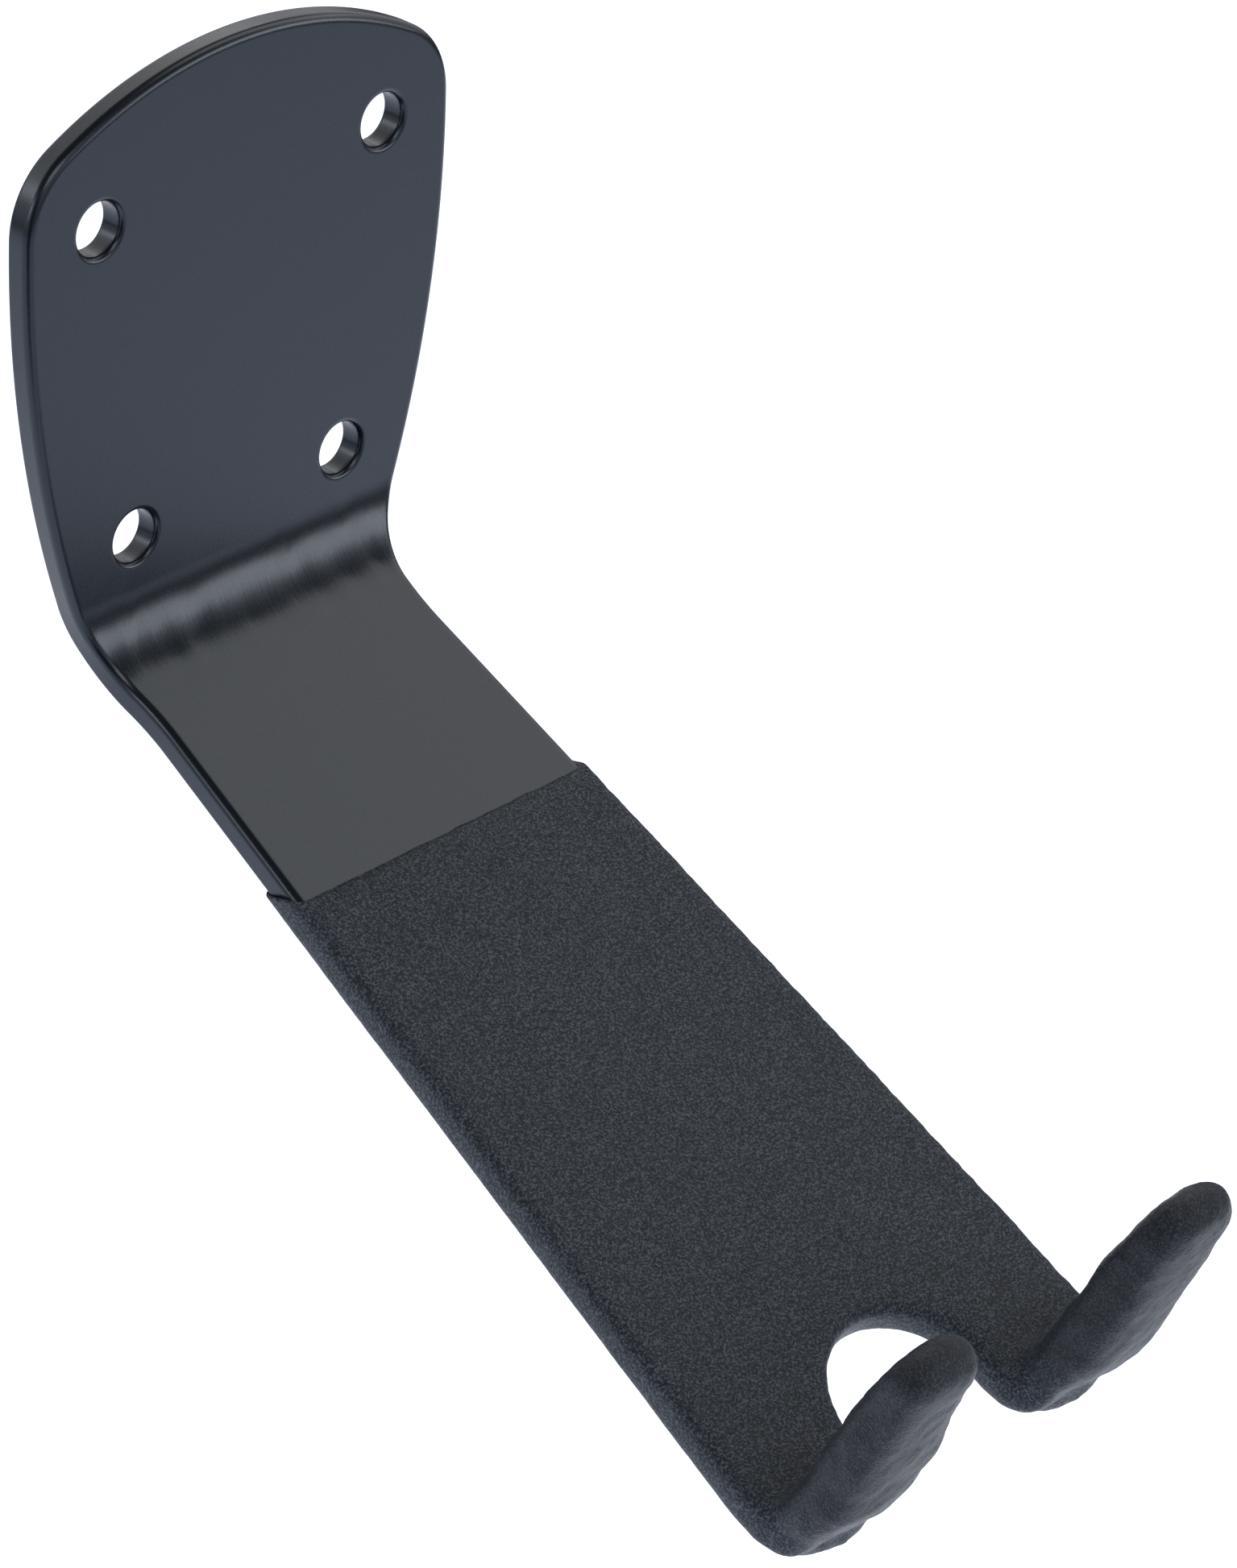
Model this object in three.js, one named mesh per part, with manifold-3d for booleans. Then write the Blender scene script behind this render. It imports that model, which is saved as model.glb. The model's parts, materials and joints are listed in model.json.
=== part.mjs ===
// A wall rack that holds a bicycle by one of its pedals.
//
// One steel blank is cut flat, bent twice and powder coated. It makes the wall
// plate, the arm that slopes down and outwards, and the two prongs that stand up
// at the arm's end. The arm and the prongs are then dipped in a soft coat, which
// the steel never leaves. Nothing on the rack moves.
//
// Millimetres, +Z up. The plate's back face lies on the wall, on y = 0, and the
// rack reaches out along -Y. The origin is the middle of the four screw holes.

import * as THREE from "three";
import { mergeVertices } from "three/addons/utils/BufferGeometryUtils.js";
import Module from "manifold-3d";

const wasm = await Module();
wasm.setup();

// The steel sheet, and the round edge that blanking leaves on its front side.
const SHEET = 4;
const ROLLED_EDGE = 1;

// The wall plate: an arched top, round shoulders and bulging sides.
const PLATE_TOP = 45.7;
const PLATE_WIDTH = 80.6;
const PLATE_BELOW = 32.2;
const ARCH_RADIUS = 69.7;
const SHOULDER_RADIUS = 13.6;
const SIDE_RADIUS = 176;
const SIDE_CENTRE_UP = 22;

// The four screw holes, which form a trapezium that is wider at the top.
const HOLE_DIAMETER = 8;
const TOP_HOLES_APART = 54;
const LOWER_HOLES_APART = 40.2;
const HOLE_ROWS_APART = 49.2;

// The bend under the plate and the one at the foot of the prongs. Each radius is
// the inner one, and each angle is how far the sheet turns.
const PLATE_BEND_RADIUS = 13.6;
const PLATE_BEND_ANGLE = THREE.MathUtils.degToRad(62);
const PRONG_BEND_RADIUS = 1.5;
const PRONG_BEND_ANGLE = THREE.MathUtils.degToRad(90);

// The arm between the two bends. It widens all the way to the prongs.
const ARM_LENGTH = 148;
const ARM_TOP_WIDTH = 52.2;
const ARM_END_WIDTH = 69.2;
const NECK_RADIUS = 46;

// The notch in the arm's end, and the two prongs on either side of it.
const NOTCH_RADIUS = 14;
const NOTCH_ABOVE_BEND = 18.5;
const PRONG_LENGTH = 36.6;
const PRONG_FOOT_WIDTH = 15.1;
const PRONG_TIP_WIDTH = 12;
const PRONG_GAP = 33.9;
const FLARE_LENGTH = 14;

// The soft coat: thin on the arm, and thicker on the prongs.
const COAT_ON_ARM = 0.9;
const COAT_ON_PRONG = 2;
const COAT_BESIDE_PRONG = 2;
const COAT_STARTS_AFTER = 37;
const COAT_THICKENS_OVER = 14;
const COAT_EDGE_ROUND = 1.4;
const COAT_CLEARANCE = 0.3;

// How finely curves are faceted.
const ARC_STEPS = 4;
const HOLE_STEPS = 20;
const ROUND_STEPS = 2;
const PLATE_BEND_STEPS = 6;
const PRONG_BEND_STEPS = 5;
const THICKENING_STEPS = 3;

const STEEL_PAINT = new THREE.MeshStandardMaterial({
  color: 0x3d434d,
  roughness: 0.55,
  metalness: 0.15,
});
const SOFT_COAT = new THREE.MeshStandardMaterial({
  color: 0x33373c,
  roughness: 0.85,
  metalness: 0,
});

// Distances along the flat sheet, measured down from the middle of the holes.
const plateBendAt = PLATE_BELOW;
const plateBendRun = (PLATE_BEND_RADIUS + SHEET / 2) * PLATE_BEND_ANGLE;
const armAt = plateBendAt + plateBendRun;
const prongBendAt = armAt + ARM_LENGTH;
const prongBendRun = (PRONG_BEND_RADIUS + SHEET / 2) * PRONG_BEND_ANGLE;
const prongAt = prongBendAt + prongBendRun;
const prongTipAt = prongAt + PRONG_LENGTH;
const coatAt = armAt + COAT_STARTS_AFTER;

// Half the width of the arm, at a distance down the sheet.
function armHalfWidth(down) {
  const share = (down - armAt) / ARM_LENGTH;
  return THREE.MathUtils.lerp(ARM_TOP_WIDTH, ARM_END_WIDTH, share) / 2;
}

// Where two circles cross, on the side with the larger x.
function circlesMeet(centreA, radiusA, centreB, radiusB) {
  const between = centreB.clone().sub(centreA);
  const apart = between.length();
  const along = (radiusA ** 2 - radiusB ** 2 + apart ** 2) / (2 * apart);
  const aside = Math.sqrt(radiusA ** 2 - along ** 2);
  const forward = between.normalize();
  const side = new THREE.Vector2(-forward.y, forward.x);
  if (side.x < 0) side.negate();
  return centreA
    .clone()
    .addScaledVector(forward, along)
    .addScaledVector(side, aside);
}

// The angle at which one point sees another.
function angleTo(from, to) {
  return Math.atan2(to.y - from.y, to.x - from.x);
}

// Where a circle crosses a straight line, at the lower of the two crossings.
function circleMeetsLine(centre, radius, onLine, direction) {
  const offset = onLine.clone().sub(centre);
  const half = offset.dot(direction);
  const root = Math.sqrt(half ** 2 - offset.lengthSq() + radius ** 2);
  const near = onLine.clone().addScaledVector(direction, -half - root);
  const far = onLine.clone().addScaledVector(direction, -half + root);
  return near.y < far.y ? near : far;
}

// The arm's right edge, as a point on it and its direction down the sheet. The
// flat sheet is drawn with x across it and y up it.
function armEdge(grow) {
  const top = new THREE.Vector2(armHalfWidth(armAt) + grow, -armAt);
  const end = new THREE.Vector2(armHalfWidth(prongBendAt) + grow, -prongBendAt);
  return { top, end, direction: end.clone().sub(top).normalize() };
}

// The plate's right edge, from the middle of its arch down to the arm.
function drawPlateEdge(path, grow) {
  const archCentre = new THREE.Vector2(0, PLATE_TOP - ARCH_RADIUS);
  const sideCentre = new THREE.Vector2(
    PLATE_WIDTH / 2 - SIDE_RADIUS,
    SIDE_CENTRE_UP,
  );
  const shoulder = circlesMeet(
    archCentre,
    ARCH_RADIUS - SHOULDER_RADIUS,
    sideCentre,
    SIDE_RADIUS - SHOULDER_RADIUS,
  );
  const edge = armEdge(0);
  const outward = new THREE.Vector2(-edge.direction.y, edge.direction.x);
  const besideArm = edge.top.clone().addScaledVector(outward, NECK_RADIUS);
  const neck = circleMeetsLine(
    sideCentre,
    SIDE_RADIUS + NECK_RADIUS,
    besideArm,
    edge.direction,
  );
  const shoulderTop = angleTo(archCentre, shoulder);
  const shoulderEnd = angleTo(sideCentre, shoulder);
  const sideEnd = angleTo(sideCentre, neck);
  const neckEnd = angleTo(new THREE.Vector2(), outward.clone().negate());
  path.absarc(
    archCentre.x,
    archCentre.y,
    ARCH_RADIUS + grow,
    Math.PI / 2,
    shoulderTop,
    true,
  );
  path.absarc(
    shoulder.x,
    shoulder.y,
    SHOULDER_RADIUS + grow,
    shoulderTop,
    shoulderEnd,
    true,
  );
  path.absarc(
    sideCentre.x,
    sideCentre.y,
    SIDE_RADIUS + grow,
    shoulderEnd,
    sideEnd,
    true,
  );
  path.absarc(
    neck.x,
    neck.y,
    NECK_RADIUS - grow,
    sideEnd + Math.PI,
    neckEnd + 2 * Math.PI,
    false,
  );
}

// The right prong and half the notch, from the arm's end to the notch's middle.
function drawProngEdge(path, growArm, growProng) {
  const outer = PRONG_GAP / 2 + PRONG_FOOT_WIDTH + growProng;
  const inner = PRONG_GAP / 2 - growProng;
  const tipRadius = PRONG_TIP_WIDTH / 2 + growProng;
  const tipCentreY = -(prongTipAt + growProng - tipRadius);
  const settled = -(prongBendAt + FLARE_LENGTH);
  const notchRadius = NOTCH_RADIUS - growArm;
  const notchY = -(prongBendAt - NOTCH_ABOVE_BEND + NOTCH_RADIUS);
  const { end } = armEdge(growArm);
  const armEndY = -(prongBendAt - FLARE_LENGTH / 2);
  const half = (armEndY + settled) / 2;
  const besideEnd = armHalfWidth(-armEndY) + growArm;
  path.lineTo(besideEnd, armEndY);
  path.bezierCurveTo(end.x, half, outer, half, outer, settled);
  path.lineTo(outer, tipCentreY);
  path.absarc(outer - tipRadius, tipCentreY, tipRadius, 0, -Math.PI, true);
  path.lineTo(inner, settled);
  const halfNotch = (notchY + settled) / 2;
  path.bezierCurveTo(
    inner,
    halfNotch,
    notchRadius,
    halfNotch,
    notchRadius,
    notchY,
  );
  path.absarc(0, notchY, notchRadius, 0, Math.PI / 2, false);
}

// A whole outline from its right half, which starts and ends on the middle line
// or starts at the right end of a straight cut across the sheet. Where two
// curves of the half join, they share one point.
function mirrored(rightHalf) {
  const drawn = rightHalf.getPoints(ARC_STEPS);
  const right = drawn.filter(
    (point, index) => !index || point.distanceTo(drawn[index - 1]) > 1e-3,
  );
  const left = right
    .filter((point) => point.x > 1e-6)
    .map((point) => new THREE.Vector2(-point.x, point.y))
    .reverse();
  return new THREE.Shape([...right, ...left]);
}

// The flat outline of the steel, drawn larger all round by a margin.
function steelOutline(grow) {
  const half = new THREE.Path();
  drawPlateEdge(half, grow);
  drawProngEdge(half, grow, grow);
  return mirrored(half);
}

// The flat outline of the coat, which starts at a straight line across the arm.
function coatOutline() {
  const half = new THREE.Path();
  half.moveTo(armHalfWidth(coatAt) + COAT_ON_ARM, -coatAt);
  drawProngEdge(half, COAT_ON_ARM, COAT_BESIDE_PRONG);
  return mirrored(half);
}

// The middles of the four screw holes on the flat sheet.
function holeCentres() {
  const rows = [
    [TOP_HOLES_APART / 2, HOLE_ROWS_APART / 2],
    [LOWER_HOLES_APART / 2, -HOLE_ROWS_APART / 2],
  ];
  return rows.flatMap(([x, y]) => [
    new THREE.Vector2(-x, y),
    new THREE.Vector2(x, y),
  ]);
}

// A closed mesh's solid, with nothing kept but the places of its vertices.
function solid(geometry) {
  const bare = new THREE.BufferGeometry();
  bare.setAttribute("position", geometry.getAttribute("position").clone());
  if (geometry.index) bare.setIndex(geometry.index.clone());
  const merged = mergeVertices(bare, 1e-4);
  const mesh = new wasm.Mesh({
    numProp: 3,
    vertProperties: merged.getAttribute("position").array,
    triVerts: new Uint32Array(merged.index.array),
  });
  return new wasm.Manifold(mesh);
}

// A solid's triangles as a list of corners, three to a triangle.
function cornersOf(body) {
  const mesh = body.getMesh();
  return Array.from(mesh.triVerts, (vertex) => {
    const first = vertex * mesh.numProp;
    return new THREE.Vector3().fromArray(mesh.vertProperties, first);
  });
}

// A geometry from a list of corners, three to a triangle.
function geometryOf(corners) {
  const geometry = new THREE.BufferGeometry().setFromPoints(corners);
  return mergeVertices(geometry, 1e-4);
}

// Where the line between two corners crosses a level of y. The ends are taken in
// a fixed order, so that neighbouring triangles find the same point.
function crossing(a, b, level) {
  const [low, high] = a.y < b.y ? [a, b] : [b, a];
  return low.clone().lerp(high, (level - low.y) / (high.y - low.y));
}

// Cuts one triangle along a level of y, and gives back its pieces.
function splitTriangle(triangle, level) {
  const above = triangle.map((corner) => corner.y > level);
  const below = triangle.map((corner) => corner.y < level);
  if (!above.includes(true) || !below.includes(true)) return [triangle];
  const aboveCount = above.filter(Boolean).length;
  const belowCount = below.filter(Boolean).length;
  const alone =
    aboveCount === 1 ? above.indexOf(true) : below.indexOf(true);
  const a = triangle[alone];
  const b = triangle[(alone + 1) % 3];
  const c = triangle[(alone + 2) % 3];
  if (aboveCount + belowCount === 2) {
    const onLevel = b.y === level ? b : c;
    const other = onLevel === b ? c : b;
    const cut = crossing(a, other, level);
    return onLevel === b
      ? [[a, b, cut], [cut, b, c]]
      : [[a, cut, c], [cut, b, c]];
  }
  const ab = crossing(a, b, level);
  const ac = crossing(a, c, level);
  return [[a, ab, ac], [ab, b, c], [ab, c, ac]];
}

// Cuts a list of corners along each of several distances down the sheet.
function splitAcross(corners, distances) {
  let triangles = [];
  for (let first = 0; first < corners.length; first += 3) {
    triangles.push(corners.slice(first, first + 3));
  }
  for (const down of distances) {
    const level = Math.fround(-down);
    triangles = triangles.flatMap((one) => splitTriangle(one, level));
  }
  return triangles.flat();
}

// Equal steps from one distance to another, both ends included.
function stepsBetween(from, to, count) {
  return Array.from({ length: count + 1 }, (unused, step) =>
    THREE.MathUtils.lerp(from, to, step / count),
  );
}

// Where the flat sheet has to be split so that it can follow its bends.
const BEND_LINES = [
  ...stepsBetween(plateBendAt, armAt, PLATE_BEND_STEPS),
  ...stepsBetween(prongBendAt, prongAt, PRONG_BEND_STEPS),
];
const THICKENING_LINES = stepsBetween(
  prongAt,
  prongAt + COAT_THICKENS_OVER,
  THICKENING_STEPS,
);

// Follows the side profile: two flats and two bends, then the prongs. It takes a
// distance down the sheet and a height over its back face, and gives y and z.
function onProfile(down, height) {
  const place = new THREE.Vector2(0, 0);
  const forward = new THREE.Vector2(0, -1);
  const front = new THREE.Vector2(-1, 0);
  const bends = [
    [plateBendAt, plateBendRun, PLATE_BEND_RADIUS, PLATE_BEND_ANGLE],
    [prongBendAt, prongBendRun, PRONG_BEND_RADIUS, PRONG_BEND_ANGLE],
  ];
  let reached = 0;
  for (const [start, run, radius, angle] of bends) {
    if (down <= start) break;
    place.addScaledVector(forward, start - reached);
    const turned = angle * Math.min((down - start) / run, 1);
    const centre = place.clone().addScaledVector(front, SHEET + radius);
    const newForward = forward
      .clone()
      .multiplyScalar(Math.cos(turned))
      .addScaledVector(front, Math.sin(turned));
    front
      .multiplyScalar(Math.cos(turned))
      .addScaledVector(forward, -Math.sin(turned));
    forward.copy(newForward);
    place.copy(centre).addScaledVector(front, -(SHEET + radius));
    reached = start + run;
    if (down < reached) reached = down;
  }
  place.addScaledVector(forward, down - reached);
  return place.addScaledVector(front, height);
}

// How much thicker the coat is than on the arm, at a distance down the sheet.
function coatSwell(down) {
  const onArm = SHEET / 2 + COAT_ON_ARM;
  const onProng = SHEET / 2 + COAT_ON_PRONG;
  const end = prongAt + COAT_THICKENS_OVER;
  const share = THREE.MathUtils.smoothstep(down, prongAt, end);
  return THREE.MathUtils.lerp(1, onProng / onArm, share);
}

// Bends a flat solid. Its x runs across the sheet, its y up the sheet and its z
// out of the sheet's front face. The swell scales heights about mid-sheet.
function bent(flat, swell = () => 1) {
  const lines = [...BEND_LINES, ...THICKENING_LINES];
  const corners = splitAcross(cornersOf(flat), lines).map((corner) => {
    const down = -corner.y;
    const middle = SHEET / 2;
    const height = middle + (corner.z - middle) * swell(down);
    const place = onProfile(down, height);
    return new THREE.Vector3(corner.x, place.x, place.y);
  });
  return solid(geometryOf(corners));
}

// The flat steel blank with its holes, which run the other way round from the
// outline. Only its front edges are rolled over.
function steelBlank() {
  const outline = steelOutline(0);
  for (const centre of holeCentres()) {
    const hole = new THREE.Path();
    hole.absarc(centre.x, centre.y, HOLE_DIAMETER / 2, 0, 2 * Math.PI, false);
    outline.holes.push(hole);
  }
  const thick = new THREE.ExtrudeGeometry(outline, {
    curveSegments: HOLE_STEPS / 2,
    depth: SHEET - ROLLED_EDGE,
    bevelThickness: ROLLED_EDGE,
    bevelSize: ROLLED_EDGE,
    bevelOffset: -ROLLED_EDGE,
    bevelSegments: ROUND_STEPS,
  });
  const reach = 4 * prongTipAt;
  const behind = new THREE.BoxGeometry(reach, reach, 2 * ROLLED_EDGE);
  behind.translate(0, 0, -ROLLED_EDGE);
  return solid(thick).subtract(solid(behind));
}

// The room the steel takes inside the coat.
function steelRoom() {
  const geometry = new THREE.ExtrudeGeometry(steelOutline(COAT_CLEARANCE), {
    depth: SHEET + 2 * COAT_CLEARANCE,
    bevelEnabled: false,
  });
  geometry.translate(0, 0, -COAT_CLEARANCE);
  return solid(geometry);
}

// The flat outer shape of the coat, round along all its edges.
function coatBlank() {
  const thickness = SHEET + 2 * COAT_ON_ARM;
  const geometry = new THREE.ExtrudeGeometry(coatOutline(), {
    depth: thickness - 2 * COAT_EDGE_ROUND,
    bevelThickness: COAT_EDGE_ROUND,
    bevelSize: COAT_EDGE_ROUND,
    bevelOffset: -COAT_EDGE_ROUND,
    bevelSegments: ROUND_STEPS,
  });
  geometry.translate(0, 0, COAT_EDGE_ROUND - COAT_ON_ARM);
  return solid(geometry);
}

// One named piece of the rack from its solid.
function piece(name, body, material) {
  const mesh = new THREE.Mesh(geometryOf(cornersOf(body)), material);
  mesh.name = name;
  return mesh;
}

const bracket = bent(steelBlank());
const sleeve = bent(coatBlank(), coatSwell).subtract(bent(steelRoom()));

const rack = new THREE.Group();
rack.add(piece("steel_bracket", bracket, STEEL_PAINT));
rack.add(piece("dipped_sleeve", sleeve, SOFT_COAT));

export default rack;
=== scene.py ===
"""A wall rack that holds a bicycle by its pedal, in a plain studio.

One bent steel blank with a satin powder coat, and a soft coat that its arm and
prongs were dipped in. Metres, +Z up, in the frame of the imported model: the wall
is at y = 0, and the origin is the middle of the four screw holes.
"""

import json
import logging
import math
from dataclasses import dataclass, field
from enum import Enum
from typing import Any, Optional

import bmesh
import bpy
from mathutils import Matrix, Vector, geometry, noise


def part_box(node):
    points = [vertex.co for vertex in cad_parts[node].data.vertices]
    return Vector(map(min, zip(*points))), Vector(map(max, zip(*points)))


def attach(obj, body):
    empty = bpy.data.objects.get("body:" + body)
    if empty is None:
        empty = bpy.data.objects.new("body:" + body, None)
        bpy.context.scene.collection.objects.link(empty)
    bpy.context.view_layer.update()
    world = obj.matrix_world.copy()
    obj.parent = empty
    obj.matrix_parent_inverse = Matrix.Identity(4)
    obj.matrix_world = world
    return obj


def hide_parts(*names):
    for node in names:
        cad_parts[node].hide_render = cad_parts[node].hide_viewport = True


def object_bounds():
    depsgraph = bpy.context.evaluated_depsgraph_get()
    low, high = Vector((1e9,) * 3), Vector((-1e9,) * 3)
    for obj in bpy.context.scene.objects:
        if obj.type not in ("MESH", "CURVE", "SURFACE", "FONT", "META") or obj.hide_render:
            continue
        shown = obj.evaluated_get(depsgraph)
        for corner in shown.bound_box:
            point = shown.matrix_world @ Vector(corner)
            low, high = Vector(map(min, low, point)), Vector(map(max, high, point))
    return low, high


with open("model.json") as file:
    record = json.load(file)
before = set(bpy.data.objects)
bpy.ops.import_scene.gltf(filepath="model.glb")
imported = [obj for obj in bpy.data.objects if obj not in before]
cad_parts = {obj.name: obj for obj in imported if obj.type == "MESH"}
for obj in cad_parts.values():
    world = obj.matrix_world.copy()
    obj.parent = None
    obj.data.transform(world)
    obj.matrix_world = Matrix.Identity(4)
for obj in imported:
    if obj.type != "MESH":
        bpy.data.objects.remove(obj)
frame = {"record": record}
CAD_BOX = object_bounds()

MM = 0.001
TOLERANCE = 1e-7
LOG = logging.getLogger("wall_rack")


class Slot(Enum):
    """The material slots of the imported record."""

    POWDER_COAT = "powder_coat"
    SOFT_DIP = "soft_dip"


class SheetEdge(Enum):
    """Which side of the flat sheet an edge is rounded on."""

    FRONT = 1
    BACK = -1


def linear(hex_colour: str) -> tuple[float, float, float, float]:
    """Turns an sRGB colour to the linear values that a shader takes.

    Args:
        hex_colour: six hex digits, red first.

    Returns:
        Red, green, blue and an alpha of 1.
    """
    channels = [int(hex_colour[place : place + 2], 16) / 255 for place in (0, 2, 4)]
    red, green, blue = [
        value / 12.92 if value <= 0.04045 else ((value + 0.055) / 1.055) ** 2.4
        for value in channels
    ]
    return red, green, blue, 1.0


def ease(value: float, start: float, end: float) -> float:
    """Goes smoothly from 0 at the start to 1 at the end.

    Args:
        value: where to look.
        start: the value at which the step begins.
        end: the value at which it is complete. It may be below the start.

    Returns:
        The height of the step, from 0 to 1.
    """
    share = min(max((value - start) / (end - start), 0.0), 1.0)
    return share * share * (3.0 - 2.0 * share)


def add_node(
    tree: bpy.types.NodeTree,
    kind: str,
    inputs: Optional[dict[str | int, Any]] = None,
    **settings: Any,
) -> bpy.types.Node:
    """Adds a node to a tree.

    Args:
        tree: the node tree.
        kind: the node's type name.
        inputs: for each input, a value to set or an output socket to link.
        settings: the node's own properties.

    Returns:
        The new node.
    """
    node = tree.nodes.new(kind)
    for name, value in settings.items():
        setattr(node, name, value)
    for name, value in (inputs or {}).items():
        if isinstance(value, bpy.types.NodeSocket):
            tree.links.new(value, node.inputs[name])
        else:
            node.inputs[name].default_value = value
    return node


def start_material(name: str) -> tuple[bpy.types.Material, bpy.types.NodeTree, bpy.types.Node]:
    """Starts a material.

    Args:
        name: the material's name.

    Returns:
        The material, its node tree and its shader.
    """
    material = bpy.data.materials.new(name)
    material.use_nodes = True
    tree = material.node_tree
    return material, tree, tree.nodes["Principled BSDF"]


def make_object(mesh: bmesh.types.BMesh, name: str) -> bpy.types.Object:
    """Turns a bmesh into a smooth-shaded object in the scene, and frees it.

    Args:
        mesh: the finished bmesh, with its place in its vertices.
        name: the object's name.

    Returns:
        The new object.
    """
    data = bpy.data.meshes.new(name)
    mesh.to_mesh(data)
    mesh.free()
    data.shade_smooth()
    piece = bpy.data.objects.new(name, data)
    bpy.context.scene.collection.objects.link(piece)
    return piece


def settle(piece: bpy.types.Object) -> None:
    """Applies a piece's modifiers to its mesh.

    Args:
        piece: the object, which has no modifiers left afterwards.
    """
    graph = bpy.context.evaluated_depsgraph_get()
    settled = bpy.data.meshes.new_from_object(piece.evaluated_get(graph))
    piece.modifiers.clear()
    old = piece.data
    piece.data = settled
    bpy.data.meshes.remove(old)


@dataclass
class OutlinePen:
    """Draws a flat outline in a bmesh, one operator after another.

    A curve is taken to be longer than the straight line between its ends.
    """

    mesh: bmesh.types.BMesh
    start: Vector
    step: float = 0.8 * MM
    longer: float = 1.2
    tip: bmesh.types.BMVert = field(init=False)

    def __post_init__(self) -> None:
        """Puts the first vertex down."""
        self.tip = self.mesh.verts.new((*self.start, 0.0))

    def arc(self, centre: Vector, angle: float) -> None:
        """Draws an arc from where the pen is.

        Args:
            centre: the arc's centre.
            angle: how far to turn about it, positive anticlockwise.
        """
        radius = (self.tip.co.xy - centre).length
        spun = bmesh.ops.spin(
            self.mesh,
            geom=[self.tip],
            cent=(*centre, 0.0),
            axis=(0.0, 0.0, 1.0),
            angle=angle,
            steps=max(math.ceil(radius * abs(angle) / self.step), 4),
        )
        self.tip = spun["geom_last"][0]

    def line(self, end: Vector) -> None:
        """Draws a straight line, in steps no longer than four of the pen's.

        Args:
            end: the line's far end.
        """
        start = self.tip.co.xy
        count = math.ceil((end - start).length / (4 * self.step))
        self._through([start.lerp(end, at / count) for at in range(1, count + 1)])

    def curve(self, first: Vector, second: Vector, end: Vector) -> None:
        """Draws a Bezier curve.

        Args:
            first: the first handle.
            second: the second handle.
            end: the curve's far end.
        """
        start = self.tip.co.xy
        count = math.ceil(self.longer * (end - start).length / self.step)
        points = geometry.interpolate_bezier(start, first, second, end, count + 1)
        self._through([Vector(point).xy for point in points[1:]])

    def _through(self, points: list[Vector]) -> None:
        """Extrudes the tip from point to point."""
        for point in points:
            grown = bmesh.ops.extrude_vert_indiv(self.mesh, verts=[self.tip])
            self.tip = grown["verts"][0]
            self.tip.co = (*point, 0.0)


@dataclass(frozen=True)
class SideProfile:
    """The rack seen from its side: plate, bend, arm, bend and prongs.

    Distances run down the back of the sheet from the middle of the screw holes.
    """

    sheet: float = 4.0 * MM
    plate_bend_at: float = 32.2 * MM
    plate_bend_radius: float = 13.6 * MM
    plate_bend_angle: float = math.radians(62.0)
    arm_length: float = 148.0 * MM
    prong_bend_radius: float = 1.5 * MM
    prong_bend_angle: float = math.radians(90.0)
    prong_length: float = 36.6 * MM

    @property
    def arm_at(self) -> float:
        """Where the plate's bend ends and the arm starts."""
        middle = self.plate_bend_radius + self.sheet / 2
        return self.plate_bend_at + middle * self.plate_bend_angle

    @property
    def prong_bend_at(self) -> float:
        """Where the arm ends."""
        return self.arm_at + self.arm_length

    @property
    def prong_at(self) -> float:
        """Where the straight part of the prongs starts."""
        middle = self.prong_bend_radius + self.sheet / 2
        return self.prong_bend_at + middle * self.prong_bend_angle

    @property
    def tip_at(self) -> float:
        """Where the steel of the prongs ends."""
        return self.prong_at + self.prong_length

    def place(self, down: float, height: float) -> Vector:
        """Follows the bent sheet.

        Args:
            down: the distance down the sheet.
            height: the height over the sheet's back face.

        Returns:
            The y and z of that point.
        """
        spot = Vector((0.0, 0.0))
        forward = Vector((0.0, -1.0))
        front = Vector((-1.0, 0.0))
        bends = (
            (self.plate_bend_at, self.arm_at, self.plate_bend_radius, self.plate_bend_angle),
            (self.prong_bend_at, self.prong_at, self.prong_bend_radius, self.prong_bend_angle),
        )
        reached = 0.0
        for start, end, radius, angle in bends:
            if down <= start:
                break
            spot = spot + forward * (start - reached)
            turned = angle * min((down - start) / (end - start), 1.0)
            centre = spot + front * (self.sheet + radius)
            along, out = math.cos(turned), math.sin(turned)
            forward, front = forward * along + front * out, front * along - forward * out
            spot = centre - front * (self.sheet + radius)
            reached = min(down, end)
        return spot + forward * (down - reached) + front * height

    def fold(self, mesh: bmesh.types.BMesh) -> None:
        """Bends a flat mesh, whose y runs up the sheet and z out of its front.

        Args:
            mesh: the flat mesh, cut across wherever it has to bend.
        """
        for vert in mesh.verts:
            spot = self.place(-vert.co.y, vert.co.z)
            vert.co.y, vert.co.z = spot

    def arm_frame(self) -> Matrix:
        """The arm's own frame: x across, y up the arm, z out of its top face.

        Returns:
            The matrix that takes a point of the unbent arm to its place.
        """
        origin = self.place(self.arm_at, 0.0)
        ahead = self.place(self.arm_at + MM, 0.0) - origin
        front = self.place(self.arm_at, MM) - origin
        up_arm = Vector((0.0, *(-ahead.normalized())))
        out = Vector((0.0, *front.normalized()))
        turn = Matrix((Vector((1.0, 0.0, 0.0)), up_arm, out)).transposed().to_4x4()
        start = Matrix.Translation((0.0, self.arm_at, 0.0))
        return Matrix.Translation((0.0, *origin)) @ turn @ start


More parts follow.
